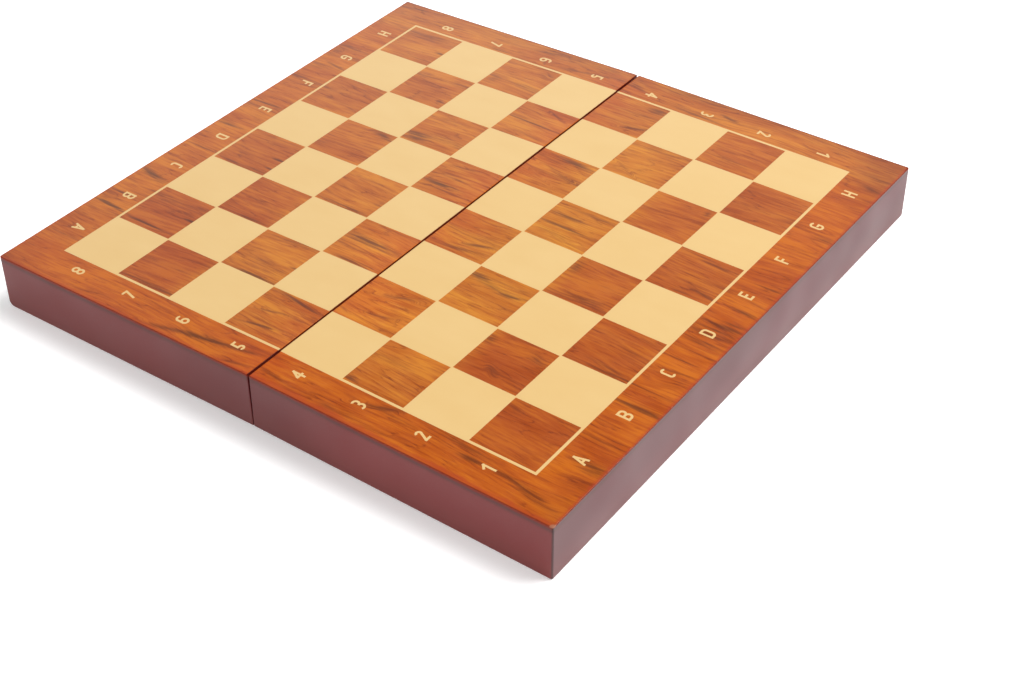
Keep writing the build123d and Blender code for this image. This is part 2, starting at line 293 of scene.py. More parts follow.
# middle, half length, half width, tilt in degrees and darkness of each streak
FIGURE = {
    Half.FIRST: (
        (56, -128, 13, 1.5, 21, 0.8), (101, -132.3, 6, 1.2, 0, 1), (95, -127.5, 18, 1.5, -3, 0.7),
        (128, -134.5, 15, 2, -11, 0.9), (8, -138, 9, 1.2, -8, 0.7), (36, -139.5, 5, 0.8, 0, 0.4),
        (136, -8.3, 10, 1.3, 0, 1.3), (139, -5, 7, 0.8, 0, 0.9), (134, -12, 8, 0.6, 0, 0.6),
        (136, -16.5, 10, 1.5, 0, 0.7), (136, -21.5, 10, 0.8, -4, 0.7), (136, -23.5, 10, 0.8, -4, 0.7),
        (140, -26.5, 6, 0.6, 0, 0.5), (134, -36.5, 10, 0.6, 0, 0.9), (136, -44.5, 10, 0.8, 8, 0.7),
        (136, -53, 10, 3, 21, 0.4), (130, -60, 8, 0.6, 0, 0.6), (136, -71.7, 11, 1, 0, 1.3),
        (140, -109.5, 9, 3, 6, 0.8), (138, -119, 8, 3, 8, 0.35), (139, 4.5, 8, 1, -4, 1),
        (140, 25, 7, 0.8, 0, 0.9), (134, 32, 8, 0.6, 0, 0.4), (142, 48, 6, 0.6, 0, 0.4),
        (141, 69.5, 7, 3, 0, 0.6), (140, 117, 8, 2.5, -12, 0.7), (135, 127.5, 8, 0.8, -8, 0.6),
        (98, -99, 5, 4, -10, 0.5), (116, -120.5, 8, 2.5, -10, 0.35), (34, -121.5, 3.5, 1.5, 0, 1),
        (64, -69, 3, 3, 0, 0.8), (87, -69, 5, 3, -25, 0.6), (77, -87, 5, 2, -45, 0.4),
        (18, -69, 12, 1.5, 21, 0.8), (19, -83.5, 8, 1, 18, 0.5), (4, -89, 4, 1, -20, 0.3),
        (44, -40.5, 13, 1.5, -8, 0.7), (55, -42, 7, 1, 10, 0.9), (35, -37.5, 5, 1, 0, 0.8),
        (112, -57.5, 11, 1.3, -8, 0.8), (115, -60, 9, 0.8, 0, 0.8), (118, -34.5, 6, 1, -15, 0.5),
        (65, -8, 3, 3.5, 0, 0.9), (80, -26, 12, 3, 10, 0.7), (22, -20.5, 10, 1.3, 20, 0.9),
        (12, -27.5, 11, 1.3, 8, 0.8), (24, -24, 6, 0.8, 10, 0.5), (29, -8, 3, 0.8, -20, 0.5),
        (115, 26, 9, 1, -4, 0.7), (118, 6, 8, 1, -10, 1.1), (109, 2, 8, 0.8, 0, 0.7),
        (47, 27, 14, 1, 0, 0.7), (41, 20.5, 10, 1.2, 0, 1), (46, 12.5, 14, 0.9, -2, 0.9),
        (46, 5.5, 13, 1.5, -10, 0.6), (20, 58.3, 11, 1.4, -5, 1.1), (15, 48, 15, 1, -16, 0.5),
        (10, 41, 12, 1, -25, 0.35), (90, 58, 2, 3, 0, 0.8), (40, 68.5, 10, 1, -30, 0.45),
        (25, 100, 9, 1, 22, 0.6), (27, 120, 5, 3, 0, 0.7), (6, 135, 9, 3, -8, 0.6),
        (42, 127.5, 17, 1, -3, 0.7), (57, 134, 6, 1, -15, 0.7), (119, 135.5, 7, 0.7, -5, 0.5),
    ),
    Half.SECOND: (
        (-137, -5.2, 8, 0.8, 0, 0.8), (-135, -27.8, 10, 0.7, 0, 0.7), (-138, -44, 5, 2, 10, 0.3),
        (-139, -53, 6, 0.8, 12, 0.5), (-136, -58.5, 11, 1.8, -10, 1.2), (-135, -63, 10, 1, 15, 0.3),
        (-137, -77.5, 9, 0.7, 0, 0.9), (-135, -87.5, 11, 1, -3, 1.5), (-135, -116, 10, 0.6, 0, 0.8),
        (-135, 20, 10, 0.9, 2, 1.1), (-129, 5, 4, 0.7, 0, 0.4), (-135, 68.5, 10, 0.8, -12, 0.6),
        (-142, 80, 3, 3, 0, 0.4), (-140, 88, 5, 0.8, -5, 0.5), (-134, 123, 10, 0.7, 0, 0.6),
        (-138, 139, 8, 0.8, 5, 0.5), (-50, -140.5, 13, 1.5, 12, 0.8), (-27, -135.7, 14, 1.8, 10, 1),
        (-8, -132.5, 8, 1.2, 12, 0.6), (-8, -141, 9, 1, 14, 0.7), (-111, -136.5, 12, 0.8, 13, 0.3),
        (-20, 132, 21, 1.3, 11, 0.7), (-73, 127, 8, 1.2, 0, 0.8), (-50, 138, 7, 1, 10, 0.4),
        (-134, 140, 5, 0.7, 0, 0.5), (-77, -122, 14, 0.7, 0, 0.5), (-15, -96, 15, 1.2, -8, 1.1),
        (-20, -107, 9, 0.7, 14, 0.7), (-8, -105.5, 7, 0.6, 2, 0.4), (-18, -117, 12, 0.8, 12, 0.7),
        (-45, -92, 15, 0.8, 0, 1.2), (-32, -78.5, 3, 0.7, 0, 1), (-95, -77, 4, 0.9, 0, 1.1),
        (-110, -89.5, 16, 0.8, -1, 1.2), (-15, -45, 16, 2.2, -4, 0.8), (-15, -60.3, 15, 1.2, 0, 0.8),
        (-77, -60.5, 15, 0.8, 0, 0.9), (-46, -29, 15, 1, 0, 0.7), (-33, -19, 3, 3, 0, 0.5),
        (-96, -16.5, 4, 0.8, 0, 1.2), (-109, -29, 15, 1, 0, 0.7), (-95, -24.5, 3, 0.7, 0, 0.8),
        (-68, 28, 8, 2, -10, 0.9), (-16, 27, 12, 1, 10, 0.5), (-20, 9.3, 11, 1.6, 0, 1.1),
        (-16, 16.5, 8, 0.7, 0, 0.6), (-15, 6, 14, 0.7, 0, 0.6), (-55, 35, 7, 4, 0, 0.8),
        (-66, 68.5, 3, 0.8, 0, 0.9), (-15, 76.5, 15, 0.7, -3, 0.6), (-15, 67, 12, 0.7, -8, 0.4),
        (-10, 88, 8, 1, -25, 0.5), (-37, 118, 5, 3, -35, 0.5), (-58, 101, 4, 3, 0, 0.6),
        (-95.5, 107, 3, 0.8, 0, 1),
    ),
}


@dataclass(frozen=True)
class Tone:
    """A round patch that tints the figure: middle, reach along X and Y, and what it multiplies by."""

    x: float
    y: float
    wide: float
    deep: float
    colour: Colour


TONES = {
    Half.FIRST: (
        Tone(46, 5, 34, 95, (1.12, 1.36, 1.10, 1.0)),
        Tone(14, 108, 26, 24, (0.88, 0.80, 0.92, 1.0)),
        Tone(46, -80, 26, 24, (1.12, 1.18, 1.10, 1.0)),
        Tone(46, 76, 28, 26, (1.08, 1.18, 1.10, 1.0)),
        Tone(16, -77, 26, 24, (1.25, 1.35, 1.20, 1.0)),
    ),
    Half.SECOND: (Tone(-16, -46, 26, 24, (1.20, 1.28, 1.15, 1.0)),),
}


@dataclass(frozen=True)
class RosewoodPrint:
    """Rosewood figure printed on foil under satin lacquer.

    It gives the eye a warm orange-brown ground, soft smoky streaks of fine dark strands along X, redder
    borders, and a wine-red ragged rim where the wall lacquer crept over the edge.
    """

    half: Half
    ground: tuple[tuple[float, str], ...] = (
        (0.30, "974A0F"), (0.42, "A25618"), (0.52, "A95E1C"), (0.66, "B56D20"),
    )
    redder: Colour = (0.93, 0.68, 0.33, 1.0)
    russet: Colour = (0.80, 0.56, 0.55, 1.0)
    burnt: Colour = (0.70, 0.62, 0.80, 1.0)
    rosy: Colour = (0.98, 0.78, 0.86, 1.0)
    vein: str = "482C1C"
    growth: str = "5E2410"
    halo: str = "7C3A16"
    rim: str = "96321A"
    edge: str = "6E2410"
    # the seam's cut edge: its own stain together with painted shade of the gap
    seam_stain_and_shade: str = "460E08"
    chip: str = "90604A"

    def patches(self, tree: NodeTree, plan: Node) -> tuple[Node, Node]:
        """Adds up the half's streaks.

        Args:
            tree: The node tree.
            plan: Gives the place in the plane, in millimetres.

        Returns:
            How smoky the figure is, and how far the grain is bent across itself, in millimetres.
        """
        smoke: float | Node = 0.0
        bend: float | Node = 0.0
        for s in (Streak(*row) for row in FIGURE[self.half]):
            tilt = math.radians(s.tilt)
            length, width = 1.5 * s.length, 1.6 * s.width
            near = spot(tree, plan, (s.x, s.y), (length, width), tilt)
            smoke = add(tree, "Math", {0: near, 1: s.dark, 2: smoke}, operation="MULTIPLY_ADD")
            if abs(s.tilt) < 5:
                continue
            # the strands turn with the streak: a run from 0 to 1 along it drives them sideways
            start = (s.x - length * math.cos(tilt), s.y - length * math.sin(tilt))
            run = spot(tree, plan, start, (2 * length, 1), tilt, "LINEAR")
            drift = length * math.sin(tilt)
            slope = add(tree, "Math", {0: run, 1: -2 * drift, 2: drift}, operation="MULTIPLY_ADD")
            bend = add(tree, "Math", {0: near, 1: slope, 2: bend}, operation="MULTIPLY_ADD")
        return smoke, bend

    def figure(self, tree: NodeTree, place: Node) -> Node:
        """Draws the wood's colour.

        Args:
            tree: The node tree.
            place: Gives the place in the flat frame, in millimetres.

        Returns:
            The colour.
        """
        plan = add(tree, "Mapping", {"Vector": place, "Scale": (1, 1, 0)})
        smoke, bend = self.patches(tree, plan)
        # the grain sways by some 4 mm over 110 mm
        sway = grained(tree, plan, (110, 46, 1), 1.0, 0.4)
        parts = add(tree, "SeparateXYZ", {0: plan})
        x, y = parts.outputs[0], parts.outputs[1]
        across = add(tree, "Math", {0: sway, 1: 18.0, 2: y}, operation="MULTIPLY_ADD")
        across = add(tree, "Math", {0: across, 1: bend}, operation="ADD")
        grain = add(tree, "CombineXYZ", {"X": x, "Y": across})
        # strands from 17 mm long and 1.4 mm wide down to fibres a thirtieth of that
        strand = grained(tree, grain, (17, 1.4, 1), 5.0, 0.66)
        # broad lighter and darker bands, about 12 mm wide and 60 mm long, with some of the strands in them
        band = grained(tree, grain, (60, 12, 1), 3.0, 0.6)
        band = add(tree, "Math", {0: strand, 1: -0.8, 2: band}, operation="MULTIPLY_ADD")
        band = add(tree, "Math", {0: band, 1: 0.4}, operation="ADD")
        ground = add(tree, "ValToRGB", {"Fac": band}, list(self.ground))
        # a thin haze of smoke between the streaks, 7 mm wide and 90 mm long
        haze = grained(tree, grain, (90, 7, 1), 2.0)
        haze = add(tree, "MapRange", {"Value": haze, "From Min": 0.48, "From Max": 0.78, "To Max": 0.6})
        smoke = add(tree, "Math", {0: smoke, 1: haze}, operation="ADD")
        # a russet halo, and in it the strands that turn dark
        limits = {"Value": smoke, "From Min": 0.05, "From Max": 1.1, "To Max": 0.5}
        glow = add(tree, "MapRange", limits, **EASED)
        shaded = add(tree, "Mix", {"Factor": glow, "A": ground, "B": self.halo}, **BLEND)
        level = add(tree, "Math", {0: smoke, 1: 1.2}, operation="MINIMUM")
        level = add(tree, "Math", {0: level, 1: 0.22, 2: strand}, operation="MULTIPLY_ADD")
        line = add(tree, "MapRange", {"Value": level, "From Min": 0.48, "From Max": 0.74}, **EASED)
        most = 0.62 if self.half is Half.FIRST else 0.74
        strength = add(tree, "MapRange", {"Value": smoke, "To Min": 0.14, "To Max": most})
        cover = add(tree, "Math", {0: line, 1: strength}, operation="MULTIPLY")
        colour = add(tree, "Mix", {"Factor": cover, "A": shaded, "B": self.vein}, **BLEND)
        # thin growth lines some 2 mm apart, that come and go
        ring = grained(tree, grain, (80, 11, 1), 1.0)
        ring = add(tree, "Math", {0: ring, 1: 9.0, 2: strand}, operation="MULTIPLY_ADD")
        ring = add(tree, "Math", {0: ring, 1: 0.5}, operation="PINGPONG")
        ring = add(tree, "MapRange", {"Value": ring, "From Min": 0.09, "From Max": 0.0}, **EASED)
        shown = add(tree, "MapRange", {"Value": band, "From Min": 0.64, "From Max": 0.42, "To Max": 0.5})
        ring = add(tree, "Math", {0: ring, 1: shown}, operation="MULTIPLY")
        colour = add(tree, "Mix", {"Factor": ring, "A": colour, "B": self.growth}, **BLEND)
        for tone in TONES[self.half]:
            patch = spot(tree, plan, (tone.x, tone.y), (tone.wide, tone.deep))
            colour = add(tree, "Mix", {"Factor": patch, "A": colour, "B": tone.colour}, **TINT)
        # the figure turns rosier in the last 24 mm or so before the seam
        rosy = add(tree, "Math", {0: x}, operation="ABSOLUTE")
        rosy = add(tree, "Math", {0: band, 1: 40.0, 2: rosy}, operation="MULTIPLY_ADD")
        limits = {"Value": rosy, "From Min": 44.0, "From Max": 20.0, "To Max": 0.8}
        rosy = add(tree, "MapRange", limits, **EASED)
        # the borders are printed redder than the squares, least along file H
        inside = margin(tree, place, (SIZES.field_x + 0.5, SIZES.field_y + 0.5))
        side: float | Node = 1.0
        if self.half is Half.SECOND:
            limits = {"Value": y, "From Min": -126.0, "From Max": -116.0, "To Min": 1.0, "To Max": 0.5}
            side = add(tree, "MapRange", limits)
        limits = {"Value": y, "From Min": 112.0, "From Max": 126.0, "To Min": side, "To Max": 0.1}
        side = add(tree, "MapRange", limits)
        outer = add(tree, "MapRange", {"Value": inside, "From Min": 0.2, "From Max": -0.2})
        # so are the squares of the last two ranks, most along file A
        least = 0.55 if self.half is Half.FIRST else 0.05
        limits = {"Value": y, "From Min": -110.0, "From Max": 120.0, "To Min": 1.0, "To Max": least}
        near = add(tree, "MapRange", limits)
        folded = add(tree, "VectorMath", {0: plan}, operation="ABSOLUTE")
        last = add(tree, "SeparateXYZ", {0: folded}).outputs[0]
        limits = {"Value": last, "From Min": 56.0, "From Max": 70.0, "To Max": near}
        last = add(tree, "MapRange", limits, **EASED)
        last = add(tree, "MapRange", {"Value": outer, "To Min": last, "To Max": 0.0})
        side = add(tree, "Math", {0: outer, 1: side}, operation="MULTIPLY")
        # a toner darkens the corners, most where rank 1 meets file H, and the outer part of file H's border
        reach = add(tree, "VectorMath", {0: folded, 1: (1.0, 1.0, 0.0)}, operation="DOT_PRODUCT")
        reach = add(tree, "Math", {0: band, 1: 20.0, 2: reach.outputs["Value"]}, operation="MULTIPLY_ADD")
        limits = {"Value": reach, "From Min": 268.0, "From Max": 302.0, "To Max": 0.6}
        burnt = add(tree, "MapRange", limits, **EASED)
        far = add(tree, "Math", {0: band, 1: 8.0, 2: y}, operation="MULTIPLY_ADD")
        limits = {"Value": far, "From Min": 137.0, "From Max": 143.0, "To Max": 0.45}
        far = add(tree, "MapRange", limits, **EASED)
        burnt = add(tree, "Math", {0: burnt, 1: far}, operation="MAXIMUM")
        if self.half is Half.FIRST:
            near = spot(tree, plan, (146, 140), (26, 52))
            near = add(tree, "Math", {0: near, 1: 1.6, 2: burnt}, operation="MULTIPLY_ADD")
            burnt = add(tree, "Math", {0: near, 1: 1.1}, operation="MINIMUM")
        burnt = add(tree, "Math", {0: burnt, 1: outer}, operation="MULTIPLY")
        tints = ((rosy, self.rosy), (last, self.russet), (side, self.redder), (burnt, self.burnt))
        for cover, shade in tints:
            colour = add(tree, "Mix", {"Factor": cover, "A": colour, "B": shade}, **TINT)
        return colour

    def rimmed(self, tree: NodeTree, place: Node, colour: Node) -> tuple[Node, Node]:
        """Tints the print where the wall lacquer crept over it, at its worn corner and along the seam.

        Args:
            tree: The node tree.
            place: Gives the place in the flat frame, in millimetres.
            colour: The print's colour.

        Returns:
            The tinted colour, and how far the surface is a raw cut edge, from 0 to 1.
        """
        parts = add(tree, "SeparateXYZ", {0: place})
        x, y = parts.outputs[0], parts.outputs[1]
        ragged = grained(tree, place, (6, 6, 6), 3.0, 0.7)
        # the lacquer reaches about twice as far over file A's edge as over the end
        front = add(tree, "Math", {0: y, 1: SIZES.side_y}, operation="ADD")
        steep = 1.8
        end = {0: x, 1: -steep * self.half.side, 2: steep * SIZES.end_x}
        end = add(tree, "Math", end, operation="MULTIPLY_ADD")
        away = add(tree, "Math", {0: front, 1: end}, operation="MINIMUM")
        reach = -4.2 if self.half is Half.FIRST else -2.4
        away = add(tree, "Math", {0: ragged, 1: reach, 2: away}, operation="MULTIPLY_ADD")
        limits = {"Value": away, "From Min": 1.4, "From Max": -1.4, "To Max": 0.5}
        tinted = add(tree, "MapRange", limits, **EASED)
        # the foil's cut edge is soaked dark red
        flank = margin(tree, place, (SIZES.end_x, SIZES.side_y))
        wide = add(tree, "MapRange", {"Value": y, "From Min": 138.0, "From Max": 142.0, "To Max": 0.5})
        flank = add(tree, "Math", {0: flank, 1: wide}, operation="SUBTRACT")
        flank = add(tree, "MapRange", {"Value": flank, "From Min": 0.35, "From Max": 0.12, "To Max": 0.9})
        coats = [(tinted, self.rim), (flank, self.edge)]
        if self.half is Half.FIRST:
            tip = (SIZES.end_x, -SIZES.side_y, SIZES.top)
            corner = add(tree, "VectorMath", {0: place, 1: tip}, operation="DISTANCE").outputs["Value"]
            corner = add(tree, "Math", {0: ragged, 1: 2.5, 2: corner}, operation="MULTIPLY_ADD")
            limits = {"Value": corner, "From Min": 3.1, "From Max": 2.3, "To Max": 0.8}
            worn = add(tree, "MapRange", limits, **EASED)
            coats.append((worn, self.chip))
        # the cut along the seam: its own stain and painted shade of the gap, drawn wider on the borders
        inside = margin(tree, place, (SIZES.field_x, SIZES.field_y + 1))
        limits = {"Value": inside, "From Min": 0.3, "From Max": -0.3, "To Min": 0.22, "To Max": 0.48}
        stain = add(tree, "MapRange", limits)
        beside = add(tree, "Math", {0: x}, operation="ABSOLUTE")
        beside = add(tree, "Math", {0: beside, 1: stain}, operation="SUBTRACT")
        seam_stain_and_shade = add(tree, "MapRange", {"Value": beside, "From Min": 0.12, "From Max": -0.12}, **EASED)
        for cover, shade in (*coats, (seam_stain_and_shade, self.seam_stain_and_shade)):
            colour = add(tree, "Mix", {"Factor": cover, "A": colour, "B": shade}, **BLEND)
        # the cut's rounded edge carries no lacquer, so it doesn't gleam
        bare = add(tree, "MapRange", {"Value": beside, "From Min": 0.4, "From Max": 0.2})
        return colour, add(tree, "Math", {0: bare, 1: flank}, operation="MAXIMUM")

    def material(self) -> Material:
        """Builds the material."""
        made, tree, shader = new_material(f"rosewood_print_{self.half.value}")
        place = flat_place(tree, self.half)
        colour, raw = self.rimmed(tree, place, self.figure(tree, place))
        # the lacquer ends at the cut edges
        sheen = add(tree, "MapRange", {"Value": raw, "To Min": 0.5, "To Max": 0.08})
        feed(shader, {"Base Color": colour, "Specular IOR Level": sheen})
        satin(tree, shader, place, (0.16, 0.29))
        return made


@dataclass(frozen=True)
class CreamPrint:
    """Cream printed colour under the same satin lacquer: the light squares, line and signs.

    It gives the eye a nearly flat, warm cream with a faint cloudiness, dark only at the seam's cut, where
    stain and painted shade of the gap lie.
    """

    half: Half
    pale: str = "C8A871"
    deep: str = "C6A56D"
    seam_stain_and_shade: str = "6A2A12"

    def material(self) -> Material:
        """Builds the material."""
        made, tree, shader = new_material(f"cream_print_{self.half.value}")
        place = flat_place(tree, self.half)
        cloud = grained(tree, place, (30, 14, 14), 3.0)
        colour = add(tree, "ValToRGB", {"Fac": cloud}, [(0.3, self.deep), (0.7, self.pale)])
        beside = add(tree, "SeparateXYZ", {0: place}).outputs[0]
        beside = add(tree, "Math", {0: beside}, operation="ABSOLUTE")
        # the print beside the seam is darkened: the cut's own stain and painted shade of the gap
        seam_stain_and_shade = add(tree, "MapRange", {"Value": beside, "From Min": 0.36, "From Max": 0.22}, **EASED)
        colour = add(tree, "Mix", {"Factor": seam_stain_and_shade, "A": colour, "B": self.seam_stain_and_shade}, **BLEND)
        sheen = add(tree, "MapRange", {"Value": seam_stain_and_shade, "To Min": 0.5, "To Max": 0.08})
        feed(shader, {"Base Color": colour, "Specular IOR Level": sheen})
        satin(tree, shader, place, (0.17, 0.29))
        return made


def satin(tree: NodeTree, shader: Node, place: Node, rough: tuple[float, float]) -> None:
    """Gives a shader the gloss of thin satin lacquer: cloudy every 9 mm, with an orange peel of 1.5 mm.

    Args:
        tree: The node tree.
        shader: The Principled shader.
        place: Gives the place in millimetres.
        rough: Least and most roughness.
    """
    cloud = grained(tree, place, (9, 9, 9), 2.0)
    least, most = rough
    level = add(tree, "Math", {0: cloud, 1: most - least, 2: least}, operation="MULTIPLY_ADD")
    peel = grained(tree, place, (1.5, 1.5, 1.5), 2.0)
    bump = add(tree, "Bump", {"Strength": 0.06, "Distance": 0.00006, "Height": peel})
    feed(shader, {"Roughness": level, "Normal": bump, "IOR": 1.48})


@dataclass(frozen=True)
class MahoganyLacquer:
    """Sprayed mahogany nitro lacquer on fibreboard and wood.

    It gives the eye a deep, dull red-brown with soft smears, greyer end rails that are a painted reflection
    of the floor, side rails painted darker towards the seam as painted shade, a lighter foot of painted
    light, a grey-brown band of painted reflection and shade under the print's edge, thin glue lines at the
    mitres, and a matter coat inside the trays.
    """

    half: Half
    side_body: tuple[str, str] = ("660F0E", "5F0D0C")
    # painted shade: the side rails' darker colour towards the seam
    side_seam_shade: str = "560B0B"
    # painted reflection: the end rails' colours are greyer than the side rails' to stand for the bright
    # floor they reflect
    end_reflection_body: str = "5E2A2D"
    end_reflection_brown: str = "542426"
    # painted light: a lighter tone at the foot of the walls that evens out the floor's contact shade
    painted_foot_light: str = "6C3630"
    # painted reflection and shade: the grey-brown band under the top edge
    band: str = "4C1E1A"
    bleed: str = "78200E"
    glue: str = "1E0A06"

    def material(self) -> Material:
        """Builds the material."""
        made, tree, shader = new_material(f"mahogany_lacquer_{self.half.value}")
        place = flat_place(tree, self.half)
        # soft clouds of the spray pass, about 60 mm long and 16 mm high
        smear = grained(tree, place, (60, 60, 16), 0.0)
        end_rail_reflection = add(tree, "ValToRGB", {"Fac": smear}, [(0.25, self.end_reflection_brown), (0.75, self.end_reflection_body)])
        # the end rails are painted greyer than the side rails: a painted reflection of the bright floor
        # beside the ends
        folded = add(tree, "VectorMath", {0: place}, operation="ABSOLUTE")
        folded = add(tree, "SeparateXYZ", {0: folded})
        # the side rails are painted darker and browner towards the seam: painted shade
        far = add(tree, "Math", {0: smear, 1: 24.0, 2: folded.outputs[0]}, operation="MULTIPLY_ADD")
        far = add(tree, "MapRange", {"Value": far, "From Min": 25.0, "From Max": 75.0}, **EASED)
        body = self.side_body[self.half is Half.SECOND]
        long_rail = add(tree, "Mix", {"Factor": far, "A": self.side_seam_shade, "B": body}, **BLEND)
        ahead = add(tree, "Math", {0: folded.outputs[0], 1: folded.outputs[1]}, operation="SUBTRACT")
        ahead = add(tree, "Math", {0: ahead, 1: SIZES.side_y - SIZES.end_x}, operation="ADD")
        across = add(tree, "MapRange", {"Value": ahead, "From Min": -0.1, "From Max": 0.1})
        inside = margin(tree, place, (SIZES.end_x, SIZES.side_y))
        outside = add(tree, "Math", {0: inside, 1: SIZES.rail + 0.01}, operation="LESS_THAN")
        across = add(tree, "Math", {0: across, 1: outside}, operation="MULTIPLY")
        colour = add(tree, "Mix", {"Factor": across, "A": long_rail, "B": end_rail_reflection}, **BLEND)
        height = add(tree, "SeparateXYZ", {0: place}).outputs[2]
        # the lower 14 mm of the walls are painted lighter: painted light against the floor's contact shade
        limits = {"Value": height, "From Min": 14.0, "From Max": 0.0, "To Max": 0.32}
        painted_foot_light = add(tree, "MapRange", limits, **EASED)
        # a grey-brown band that fades out some 2 to 4 mm below the top: painted reflection and shade of the
        # rounded top edge
        ragged = grained(tree, place, (12, 12, 3), 2.0)
        level = add(tree, "Math", {0: ragged, 1: 0.9, 2: height}, operation="MULTIPLY_ADD")
        limits = {"Value": level, "From Min": SIZES.top - 3.4, "From Max": SIZES.top - 1.4, "To Max": 0.95}
        band = add(tree, "MapRange", limits, **EASED)
        # the print's red bleeds about 1.5 mm down the wall
        limits = {"Value": level, "From Min": SIZES.top - 1.2, "From Max": SIZES.top - 0.2, "To Max": 0.75}
        bleed = add(tree, "MapRange", limits, **EASED)
        bleed = add(tree, "MapRange", {"Value": across, "To Min": bleed, "To Max": 0.0})
        # a thin glue line where two rails meet at 45 degrees
        mitre = add(tree, "Math", {0: ahead}, operation="ABSOLUTE")
        # the line is drawn about 0.7 mm wide on the standing edge and 0.14 mm elsewhere
        limits = {"Value": inside, "From Min": 0.9, "From Max": 0.5, "To Min": 0.14, "To Max": 0.7}
        wide = add(tree, "MapRange", limits)
        low = add(tree, "Math", {0: wide, 1: 0.12}, operation="SUBTRACT")
        mitre = add(tree, "MapRange", {"Value": mitre, "From Min": wide, "From Max": low, "To Max": 0.6})
        mitre = add(tree, "Math", {0: mitre, 1: outside}, operation="MULTIPLY")
        coats = ((painted_foot_light, self.painted_foot_light), (band, self.band), (bleed, self.bleed), (mitre, self.glue))
        for cover, shade in coats:
            colour = add(tree, "Mix", {"Factor": cover, "A": colour, "B": shade}, **BLEND)
        # the band is matt on the side rails
        dull = add(tree, "Math", {0: 1.0, 1: across}, operation="SUBTRACT")
        dull = add(tree, "Math", {0: band, 1: dull}, operation="MULTIPLY")
        sheen = add(tree, "MapRange", {"Value": across, "To Min": 0.45, "To Max": 0.5})
        sheen = add(tree, "MapRange", {"Value": dull, "To Min": sheen, "To Max": 0.3})
        sheen = add(tree, "MapRange", {"Value": bleed, "To Min": sheen, "To Max": 0.1})
        # one coat outside, and only overspray inside
        haze = grained(tree, place, (20, 20, 20), 0.0)
        haze = add(tree, "Math", {0: haze, 1: 0.16, 2: 0.36}, operation="MULTIPLY_ADD")
        limits = {"Value": inside, "From Min": SIZES.rail - 0.5, "From Max": SIZES.rail, "To Max": 0.16}
        matter = add(tree, "MapRange", limits)
        rough = add(tree, "Math", {0: haze, 1: matter}, operation="ADD")
        peel = grained(tree, place, (1.8, 1.8, 1.8), 2.0)
        bump = add(tree, "Bump", {"Strength": 0.1, "Distance": 0.00008, "Height": peel})
        feed(shader, {"Base Color": colour, "Specular IOR Level": sheen})
        feed(shader, {"Roughness": rough, "Normal": bump, "IOR": 1.5})
        return made


@dataclass(frozen=True)
class BrightMetal:
    """Brass or nickel with fine working marks.

    It gives the eye a soft metallic gleam, cloudy with handling, and fine lines along the working.
    """

    name: str
    bright: str
    dull: str
    marks: Point
    roughness: float

    def material(self) -> Material:
        """Builds the material."""
        made, tree, shader = new_material(self.name)
        coordinates = add(tree, "TexCoord").outputs["Object"]
        place = add(tree, "Mapping", {"Vector": coordinates, "Scale": (1 / MM,) * 3})
        cloud = grained(tree, place, (4, 4, 4), 3.0)
        colour = add(tree, "ValToRGB", {"Fac": cloud}, [(0.35, self.dull), (0.6, self.bright)])
        lines = grained(tree, place, self.marks, 2.0)
        least, most = self.roughness * 0.8, self.roughness * 1.3
        limits = {"Value": lines, "From Min": 0.3, "From Max": 0.7, "To Min": least, "To Max": most}
        rough = add(tree, "MapRange", limits)
        bump = add(tree, "Bump", {"Strength": 0.15, "Distance": 0.00002, "Height": lines})
        feed(shader, {"Base Color": colour, "Roughness": rough, "Metallic": 1.0, "Normal": bump})
        return made


def paint(piece: Object, finish: Material) -> None:
    """Puts one finish in all of a piece's material slots."""
    for slot in piece.material_slots:
        slot.material = finish
    if not piece.material_slots:
        piece.data.materials.append(finish)


def choose(kind: str, test: Callable[[list[Vector]], bool]) -> None:
    """Selects the corners, edges or faces that pass a test, and nothing else, on the piece in edit mode.

    Args:
        kind: VERT, EDGE or FACE.
        test: Says of the places of one corner, edge or face whether it is selected.
    """
    bpy.ops.mesh.select_mode(type=kind)
    bpy.ops.mesh.select_all(action="DESELECT")
    mesh = bmesh.from_edit_mesh(bpy.context.object.data)
    parts = {"VERT": mesh.verts, "EDGE": mesh.edges, "FACE": mesh.faces}[kind]
    for part in parts:
        corners = [part] if kind == "VERT" else part.verts
        if test([corner.co for corner in corners]):
            part.select_set(True)
    mesh.select_flush_mode()
    bmesh.update_edit_mesh(bpy.context.object.data)


def turned(name: str, sides: int, stations: Sequence[tuple[float, float]]) -> Object:
    """Turns a solid as on a lathe: a disc on the Z axis is extruded and resized from station to station.

    Args:
        name: The piece's name.
        sides: How many flats it has round it.
        stations: Height and radius of each ring from bottom to top, in millimetres.

    Returns:
        The solid.
    """
    base, radius = stations[0]
    bpy.ops.mesh.primitive_circle_add(
        vertices=sides, radius=radius, fill_type="NGON", location=(0, 0, base)
    )
    piece = bpy.context.object
    piece.name = name
    bpy.ops.object.transform_apply()
    bpy.ops.object.mode_set(mode="EDIT")
    bpy.ops.mesh.select_all(action="SELECT")
    for height, wide in stations[1:]:
        bpy.ops.mesh.extrude_region_move(TRANSFORM_OT_translate={"value": (0, 0, height - base)})
        bpy.ops.transform.resize(value=(wide / radius, wide / radius, 1))
        base, radius = height, wide
    bpy.ops.mesh.select_all(action="SELECT")
    bpy.ops.mesh.normals_make_consistent(inside=False)
    bpy.ops.object.mode_set(mode="OBJECT")
    return piece


